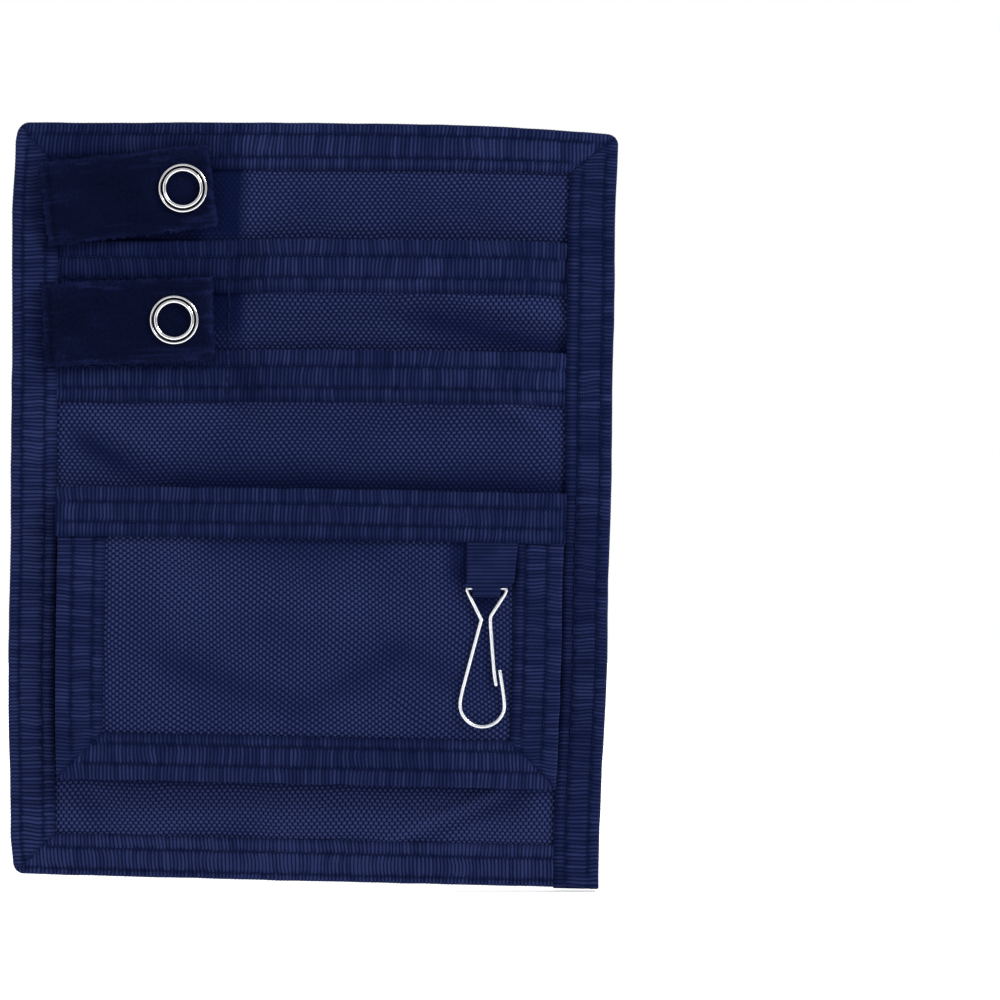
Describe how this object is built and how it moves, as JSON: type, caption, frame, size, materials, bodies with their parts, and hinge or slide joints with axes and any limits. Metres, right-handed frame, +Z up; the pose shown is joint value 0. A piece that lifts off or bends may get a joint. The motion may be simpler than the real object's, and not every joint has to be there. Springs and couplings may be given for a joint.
{
  "type": "belt loop organiser pouch",
  "caption": "Flat bound fabric pouch with stacked mouth pockets, snap-down tool straps, a wire key hook and a belt loop that opens on its back.",
  "frame": {"origin": "middle of the belt channel behind the pouch", "axes": "+X to the right as seen from the front, along the belt; +Y towards the wearer; +Z up"},
  "size_m": [0.14, 0.0182, 0.178],
  "materials": {
    "navy_nylon": "ballistic nylon in a coarse basket weave, soft satin sheen",
    "navy_twill": "steep twill, matt",
    "navy_grosgrain": "ribbed grosgrain tape, ribs across the tape, two rows of lockstitch",
    "navy_satin": "smooth tape with very fine cross ribs",
    "navy_thread": "polyester thread",
    "dark_velour": "brushed loop pile, matt",
    "dark_hook_tape": "moulded hooks in rows, matt",
    "bright_snap": "polished nickel plate",
    "nickel_wire": "drawn and plated wire"
  },
  "bodies": {
    "root": {"front_base_panel": "navy_nylon", "upper_pocket_panel": "navy_nylon", "middle_pocket_panel": "navy_nylon", "framed_pocket_panel": "navy_nylon", "framed_pocket_gusset": "navy_nylon", "rear_panel": "navy_twill", "upper_pocket_binding": "navy_grosgrain", "middle_pocket_binding": "navy_grosgrain", "edge_binding_top": "navy_grosgrain", "edge_binding_left": "navy_grosgrain", "edge_binding_right": "navy_grosgrain", "edge_binding_bottom": "navy_grosgrain", "framed_pocket_mouth_binding": "navy_grosgrain", "framed_pocket_left_binding": "navy_grosgrain", "framed_pocket_right_binding": "navy_grosgrain", "framed_pocket_bottom_binding": "navy_grosgrain", "hook_tab": "navy_grosgrain", "belt_strap_sewn_end": "navy_satin", "pocket_divider_seam": "navy_thread", "belt_hook_patch": "dark_hook_tape", "snap_studs": "bright_snap", "snap_stud_rings": "bright_snap"},
    "upper_strap": {"upper_tool_strap": "dark_velour", "upper_snap_ring": "bright_snap", "upper_snap_socket": "bright_snap"},
    "lower_strap": {"lower_tool_strap": "dark_velour", "lower_snap_ring": "bright_snap", "lower_snap_socket": "bright_snap"},
    "key_hook": {"key_hook_wire": "nickel_wire"},
    "hook_gate": {"key_hook_gate": "nickel_wire"},
    "belt_flap": {"belt_strap": "navy_satin", "belt_strap_loop_patch": "dark_velour"}
  },
  "joints": [
    {"name": "upper_strap_open", "type": "hinge", "parent": "root", "child": "upper_strap", "pos_m": [-0.0621, -0.0077, 0.02234], "axis": [0.1149, 0, -0.9934], "range_deg": [0, 160]},
    {"name": "lower_strap_open", "type": "hinge", "parent": "root", "child": "lower_strap", "pos_m": [-0.0621, -0.0087, -0.00558], "axis": [0.0384, 0, -0.9993], "range_deg": [0, 160]},
    {"name": "key_hook_swing", "type": "hinge", "parent": "root", "child": "key_hook", "pos_m": [0.04, -0.0132, -0.0666], "axis": [-1, 0, 0], "range_deg": [0, 95]},
    {"name": "hook_gate_flex", "type": "hinge", "parent": "key_hook", "child": "hook_gate", "pos_m": [0.0414, -0.0132, -0.07335], "axis": [0, 1, 0], "range_deg": [0, 10], "stiffness_Nm_per_rad": 0.02, "springref_deg": -2.86},
    {"name": "belt_strap_open", "type": "hinge", "parent": "root", "child": "belt_flap", "pos_m": [0, -0.0013, 0.0282], "axis": [1, 0, 0], "range_deg": [0, 130]}
  ]
}
